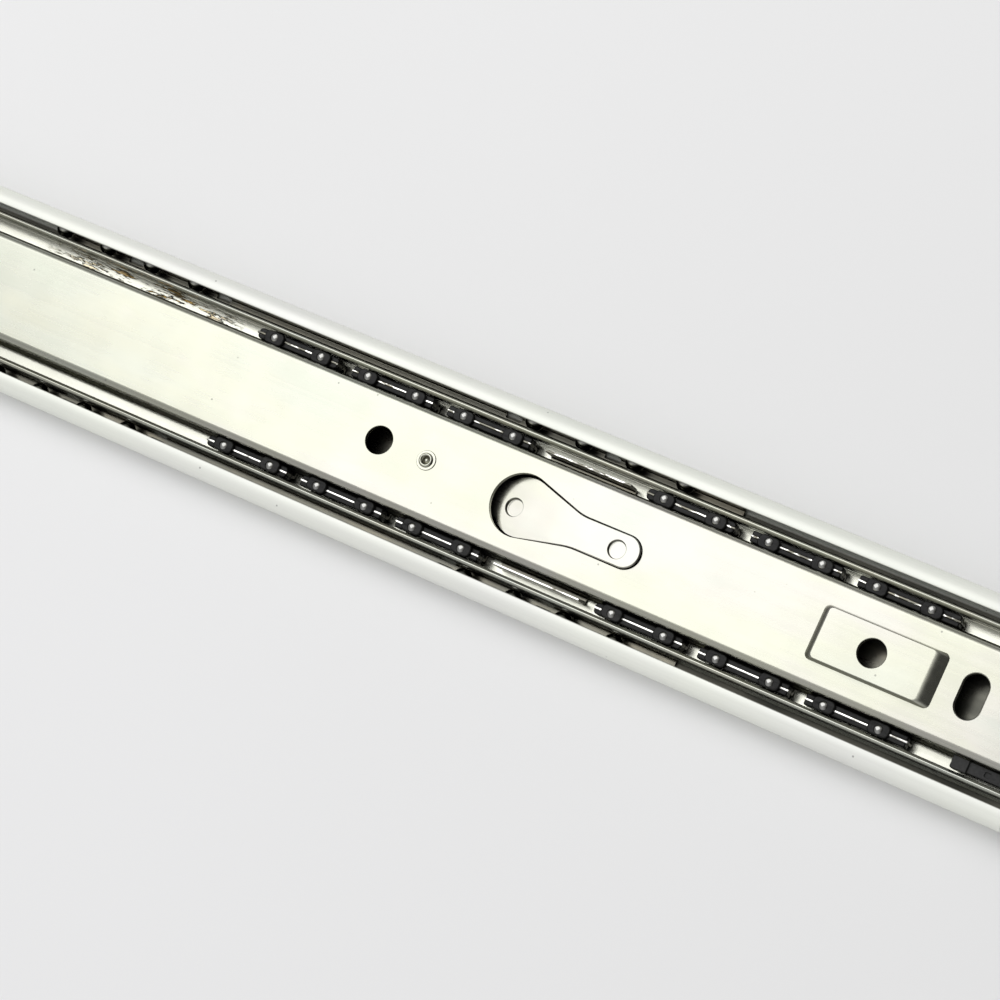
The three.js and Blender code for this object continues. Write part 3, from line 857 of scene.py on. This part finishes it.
# The flat strip's top, the bends of the tongue, and the step down at the tongue's back
LATCH_TOP = 10.3
LATCH_BENDS = (
    {"at": 95, "spread": 1.0, "turn": 0.142},
    {"at": 114, "spread": 4.0, "turn": -0.066},
)
LATCH_STEP = {"depth": 0.75, "start": 89.4, "end": 93.8}
LATCH_GAP = 0.17
STRIP_HALF = 4.6
CUP = {"radius": 2.1, "wall": 0.5, "depth": 0.9, "y": -0.7}


def latch_outline(grow):
    """The flat strip under the web and the pear-shaped tongue, as one outline."""
    big = PEAR["big"] - LATCH_GAP + grow
    join = 180 - math.degrees(math.asin((STRIP_HALF + grow) / big))
    low, _ = node_box("release_latch")
    back = low.x
    pear = pear_outline(join)(grow - LATCH_GAP)
    upper = arc((back + 1, STRIP_HALF - 1), 1 + grow, 180, 90, 6)
    lower = arc((back + 1, -STRIP_HALF + 1), 1 + grow, 270, 180, 6)
    return upper + pear + lower


def soft_bend(ahead, spread, turn):
    """Height and slope at a distance past a bend that is spread out to both sides."""
    if ahead >= spread:
        return turn * ahead, turn
    share = max(ahead + spread, 0) / (2 * spread)
    return turn * spread * share * share, turn * share


def latch_bend(p):
    """Where a point of the flat latch goes: a step down, then a rise that is steep and then gentle."""
    down = min(max((p.x - LATCH_STEP["start"]) / (LATCH_STEP["end"] - LATCH_STEP["start"]), 0), 1)
    z = p.z - LATCH_STEP["depth"] * down * down * (3 - 2 * down)
    slope = 0
    for bend in LATCH_BENDS:
        rise, turn = soft_bend(p.x - bend["at"], bend["spread"], bend["turn"])
        z += rise
        slope += turn
    above_bottom = p.z - LATCH_TOP + LATCH_SHEET
    return Vector((p.x - above_bottom * slope, p.y, z))


def release_latch():
    bm = bmesh.new()
    bottom = LATCH_TOP - LATCH_SHEET
    button(bm, latch_outline, bottom, LATCH_TOP, 0.3)
    piece = to_object("latch_tongue", bm)
    bosses, hollows = bmesh.new(), bmesh.new()
    for x in (PEAR["big_x"] - 2.1, PEAR["tip_x"] - 1.7):
        button(bosses, circle_outline(x, CUP["y"], CUP["radius"] + CUP["wall"]),
               LATCH_TOP - CUP["depth"] - CUP["wall"], LATCH_TOP - 0.3, 0.2)
        dish(hollows, circle_outline(x, CUP["y"], CUP["radius"]), LATCH_TOP - CUP["depth"], LATCH_TOP)
    combine(piece, bosses, "UNION")
    rivet_hole = circle_outline(RIVET["x"], RIVET["y"], RIVET["latch_hole"], 32)
    punch(hollows, rivet_hole, bottom, LATCH_TOP)
    combine(piece, hollows, "DIFFERENCE")
    bm = bmesh.new()
    bm.from_mesh(piece.data)
    step_cuts = [LATCH_STEP["start"] + 0.4 * i for i in range(18)]
    bend_cuts = [LATCH_BENDS[1]["at"] + 0.8 * i for i in range(-5, 6)]
    for x in step_cuts + bend_cuts:
        everything = bm.verts[:] + bm.edges[:] + bm.faces[:]
        bmesh.ops.bisect_plane(bm, geom=everything, plane_co=(x * MM, 0, 0), plane_no=(1, 0, 0))
    for vertex in bm.verts:
        vertex.co = latch_bend(vertex.co / MM) * MM
    bm.to_mesh(piece.data)
    bm.free()
    shade(piece)
    finish(piece, "latch", "spring_steel", LATCH_ZINC, "release_latch")


def latch_rivet():
    """A tubular rivet: a thin flat brim, a rolled ring, and a hollow with a small dome in its middle."""
    low, high = node_box("latch_rivet")
    centre = (low + high) / 2
    radius = (high.x - low.x) / 2
    shank, collar = 1.5, 2.1
    under = LATCH_TOP - LATCH_SHEET - 0.3
    web = FACE_HEIGHT - SHEET
    profile = [(0, low.z), (radius - 0.3, low.z), (radius, low.z + 0.25), (radius, under - 0.15)]
    profile += [(radius - 0.15, under), (shank, under), (shank, LATCH_TOP + 0.1), (collar, LATCH_TOP + 0.1)]
    profile += [(collar, web - 0.1), (shank, web - 0.1), (shank, FACE_HEIGHT + 0.03)]
    brim = FACE_HEIGHT + 0.25
    profile += [(radius - 0.1, FACE_HEIGHT + 0.03), (radius, FACE_HEIGHT + 0.12), (radius - 0.1, brim)]
    ring, thick = 1.28, 0.42
    for degrees in range(0, 181, 20):
        angle = math.radians(degrees)
        profile.append((ring + thick * math.cos(angle), brim + (high.z - brim) * math.sin(angle)))
    profile += [(0.72, FACE_HEIGHT - 0.25), (0.5, FACE_HEIGHT + 0.05), (0.25, FACE_HEIGHT + 0.18)]
    profile += [(0, FACE_HEIGHT + 0.22)]
    bm = bmesh.new()
    points = [bm.verts.new((centre.x + r, centre.y, z)) for r, z in profile]
    edges = [bm.edges.new(pair) for pair in zip(points, points[1:])]
    bmesh.ops.spin(bm, geom=points + edges, cent=(centre.x, centre.y, 0), axis=(0, 0, 1),
                   angle=math.tau, steps=48, use_duplicate=False)
    bmesh.ops.remove_doubles(bm, verts=bm.verts, dist=1e-4)
    piece = to_object("latch_rivet_turned", bm)
    shade(piece)
    finish(piece, "inner", "spring_steel", LATCH_ZINC, "latch_rivet")


# ---------- Black mouldings ----------

def cage_stop(node, side):
    """A clip in the race beside the inner member, with a stepped head and a peg through the wall."""
    low, high = node_box(node)
    near = min(abs(low.y), abs(high.y))
    far = max(abs(low.y), abs(high.y))
    face = 12.1
    step = 3.7
    bm = bmesh.new()
    body = box_outline(low.x + 0.02, high.x, face, far - 0.2, 0.3)
    button(bm, body, low.z + 0.9, high.z - 0.6, 0.25)
    piece = to_object(node + "_moulded", bm)
    head = bmesh.new()
    button(head, box_outline(low.x, low.x + step, face, far, 0.3), low.z + 0.9, high.z, 0.25)
    combine(piece, head, "UNION")
    peg = bmesh.new()
    cross_bar(peg, CLIP_PEG_X, INNER_BALL["z"], near + 0.4, face + 0.5, PEG)
    combine(piece, peg, "UNION")
    tip = bmesh.new()
    rings = []
    for y, radius in ((near, 1.3), (near + 0.25, 1.7), (near + 0.6, 1.9), (near + 0.9, 1.9)):
        rings.append([(p.x, y, p.y) for p in arc((CLIP_PEG_X, INNER_BALL["z"]), radius, 0, 348.75, 31)])
    loft(tip, rings)
    combine(piece, tip, "UNION")
    ribs = bmesh.new()
    for i in range(4):
        x = low.x + step + 3.5 + 4.2 * i
        button(ribs, box_outline(x, x + 1.4, face + 0.7, far - 0.9, 0.3), high.z - 1.0, high.z + 1, 0.15)
    combine(piece, ribs, "DIFFERENCE")
    if side < 0:
        mirror(piece)
    shade(piece)
    finish(piece, "inner", "black_nylon", NYLON, node)


def rear_bumpers():
    low, high = node_box("outer_rear_bumper")
    bm = bmesh.new()
    button(bm, box_outline(low.x, high.x, low.y, high.y, 1.0), 1.5, high.z, 0.4)
    piece = to_object("outer_rear_bumper_moulded", bm)
    peg, pocket = bmesh.new(), bmesh.new()
    button(peg, circle_outline(OUTER_PEG_X, 0, PEG, 32), low.z, 2.5, 0.2)
    combine(piece, peg, "UNION")
    button(pocket, box_outline(low.x + 4, high.x + 1, -3, 3, 0.6), 4.5, 9, 0.3)
    combine(piece, pocket, "DIFFERENCE")
    shade(piece)
    finish(piece, "outer", "black_nylon", NYLON, "outer_rear_bumper")

    low, high = node_box("intermediate_rear_bumper")
    bm = bmesh.new()
    button(bm, box_outline(low.x, high.x, low.y, high.y, 1.0), 3.7, high.z, 0.25)
    piece = to_object("intermediate_rear_bumper_moulded", bm)
    pegs = bmesh.new()
    for y in (-MIDDLE_PEGS["y"], MIDDLE_PEGS["y"]):
        button(pegs, circle_outline(MIDDLE_PEGS["x"], y, PEG, 32), low.z, 4.2, 0.2)
    combine(piece, pegs, "UNION")
    shade(piece)
    finish(piece, "intermediate", "black_nylon", NYLON, "intermediate_rear_bumper")


# ---------- Room, light and camera ----------

# In metres and watts
SOFTBOX = {"power": 6.9, "size": 0.95, "target": (0.1, 0, 0.01), "way": (-0.34, 0.3, 0.9), "away": 1.15}
FLOOR_SIZE = 20
FLOOR_GAP = 0.0002


def studio():
    bm = bmesh.new()
    bmesh.ops.create_grid(bm, x_segments=1, y_segments=1, size=FLOOR_SIZE)
    mesh = bpy.data.meshes.new("floor")
    bm.to_mesh(mesh)
    bm.free()
    floor = bpy.data.objects.new("floor", mesh)
    floor.location.z = CAD_BOX[0][2] - FLOOR_GAP
    mesh.materials.append(floor_paper())
    bpy.context.scene.collection.objects.link(floor)

    sky()
    way = Vector(SOFTBOX["way"]).normalized()
    softbox = bpy.data.lights.new("softbox", "AREA")
    softbox.shape = "SQUARE"
    softbox.size = SOFTBOX["size"]
    softbox.energy = SOFTBOX["power"]
    lamp = bpy.data.objects.new("softbox", softbox)
    lamp.location = Vector(SOFTBOX["target"]) + way * SOFTBOX["away"]
    lamp.rotation_euler = (-way).to_track_quat("-Z", "Y").to_euler()
    bpy.context.scene.collection.objects.link(lamp)


def sky():
    """A dim pale room: lighter to the sides of the slide, darker beyond its drawn end."""
    world = bpy.data.worlds.new("studio")
    bpy.context.scene.world = world
    world.use_nodes = True
    tree = world.node_tree
    direction = tree.nodes.new("ShaderNodeTexCoord").outputs["Generated"]

    def facing(way, low, high, to_low, to_high):
        dot = tree.nodes.new("ShaderNodeVectorMath")
        dot.operation = "DOT_PRODUCT"
        tree.links.new(direction, dot.inputs[0])
        dot.inputs[1].default_value = Vector(way).normalized()
        step = tree.nodes.new("ShaderNodeMapRange")
        step.interpolation_type = "SMOOTHSTEP"
        tree.links.new(dot.outputs["Value"], step.inputs["Value"])
        step.inputs["From Min"].default_value = low
        step.inputs["From Max"].default_value = high
        step.inputs["To Min"].default_value = to_low
        step.inputs["To Max"].default_value = to_high
        return step.outputs["Result"]

    def combined(a, b, operation):
        made = tree.nodes.new("ShaderNodeMath")
        made.operation = operation
        tree.links.new(a, made.inputs[0])
        tree.links.new(b, made.inputs[1])
        return made.outputs[0]

    glow = facing((-0.3, 0.2, 0.93), 0.55, 1.0, 0.3, 1.0)
    near = facing((0.1, -1.0, 0.3), 0.4, 0.95, 0.0, 0.65)
    far = facing((-0.1, 1.0, 0.3), 0.4, 0.95, 0.0, 0.15)
    dark_end = facing((1.0, 0.1, 0.35), 0.45, 0.92, 1.0, 0.35)
    background = tree.nodes["Background"]
    behind = combined(combined(glow, far, "ADD"), dark_end, "MULTIPLY")
    tree.links.new(combined(behind, near, "ADD"), background.inputs["Strength"])
    background.inputs["Color"].default_value = (1, 1, 1, 1)


CAMERA_LENS = 102.8
CAMERA_PLACE = Vector((0.32436, -0.05508, 0.59335))
CAMERA_RIGHT = Vector((0.85787, 0.42005, -0.29601))
CAMERA_FORWARD = Vector((-0.36270, 0.08689, -0.92785))


def camera():
    """Looks down on the slide from beyond its drawn end, so that it runs from upper left to lower right."""
    data = bpy.data.cameras.new("camera")
    data.sensor_width = 36
    data.lens = CAMERA_LENS
    data.clip_start = 0.05
    made = bpy.data.objects.new("camera", data)
    up = CAMERA_RIGHT.cross(CAMERA_FORWARD)
    axes = Matrix((CAMERA_RIGHT, up, -CAMERA_FORWARD)).transposed()
    made.matrix_world = Matrix.Translation(CAMERA_PLACE) @ axes.to_4x4()
    bpy.context.scene.collection.objects.link(made)
    bpy.context.scene.camera = made


outer_member()
intermediate_member()
inner_member()
cage("outer_cage_strip", "outer_ball_retainer", "outer_cage", OUTER_BALL, OUTER_CAGE)
cage("inner_cage_strip", "inner_ball_retainer", "inner_cage", INNER_BALL, INNER_CAGE)
ball_holders()
balls()
release_latch()
latch_rivet()
cage_stop("cage_stop_near", -1)
cage_stop("cage_stop_far", 1)
rear_bumpers()
studio()
camera()
bpy.context.scene.view_settings.view_transform = "Standard"
